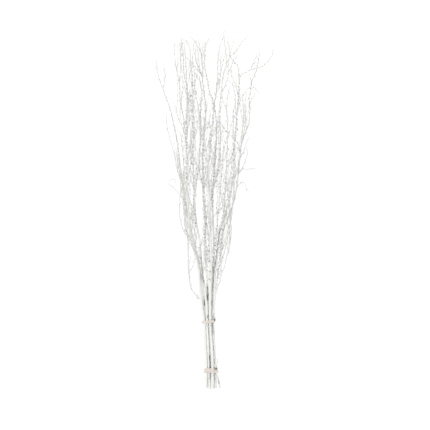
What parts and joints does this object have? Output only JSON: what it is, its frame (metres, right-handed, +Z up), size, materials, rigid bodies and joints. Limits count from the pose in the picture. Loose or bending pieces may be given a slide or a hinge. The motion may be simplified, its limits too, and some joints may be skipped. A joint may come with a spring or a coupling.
{
  "type": "bunch of painted birch branches",
  "caption": "Tied bunch of cut birch branches, painted off-white, lying flat, with long forked twigs that spread from two twine ties.",
  "frame": {"origin": "on the surface the bunch lies on, under the middle of the lower tie", "axes": "+Y from the cut ends to the tips, +Z up from the surface, +X to the right of someone who looks down on it"},
  "size_m": [0.3263, 0.9981, 0.1193],
  "materials": {
    "painted_bark": "matt off-white paint, thin and speckled over rough bark",
    "twine": "matt natural plant-fibre twine"
  },
  "bodies": {
    "root": {"branch_left_outer": "painted_bark", "branch_left_back": "painted_bark", "branch_left_inner": "painted_bark", "branch_middle_left": "painted_bark", "branch_middle": "painted_bark", "branch_middle_back": "painted_bark", "branch_right_inner": "painted_bark", "branch_right_outer": "painted_bark", "tie_lower": "twine", "tie_upper": "twine"}
  },
  "joints": []
}
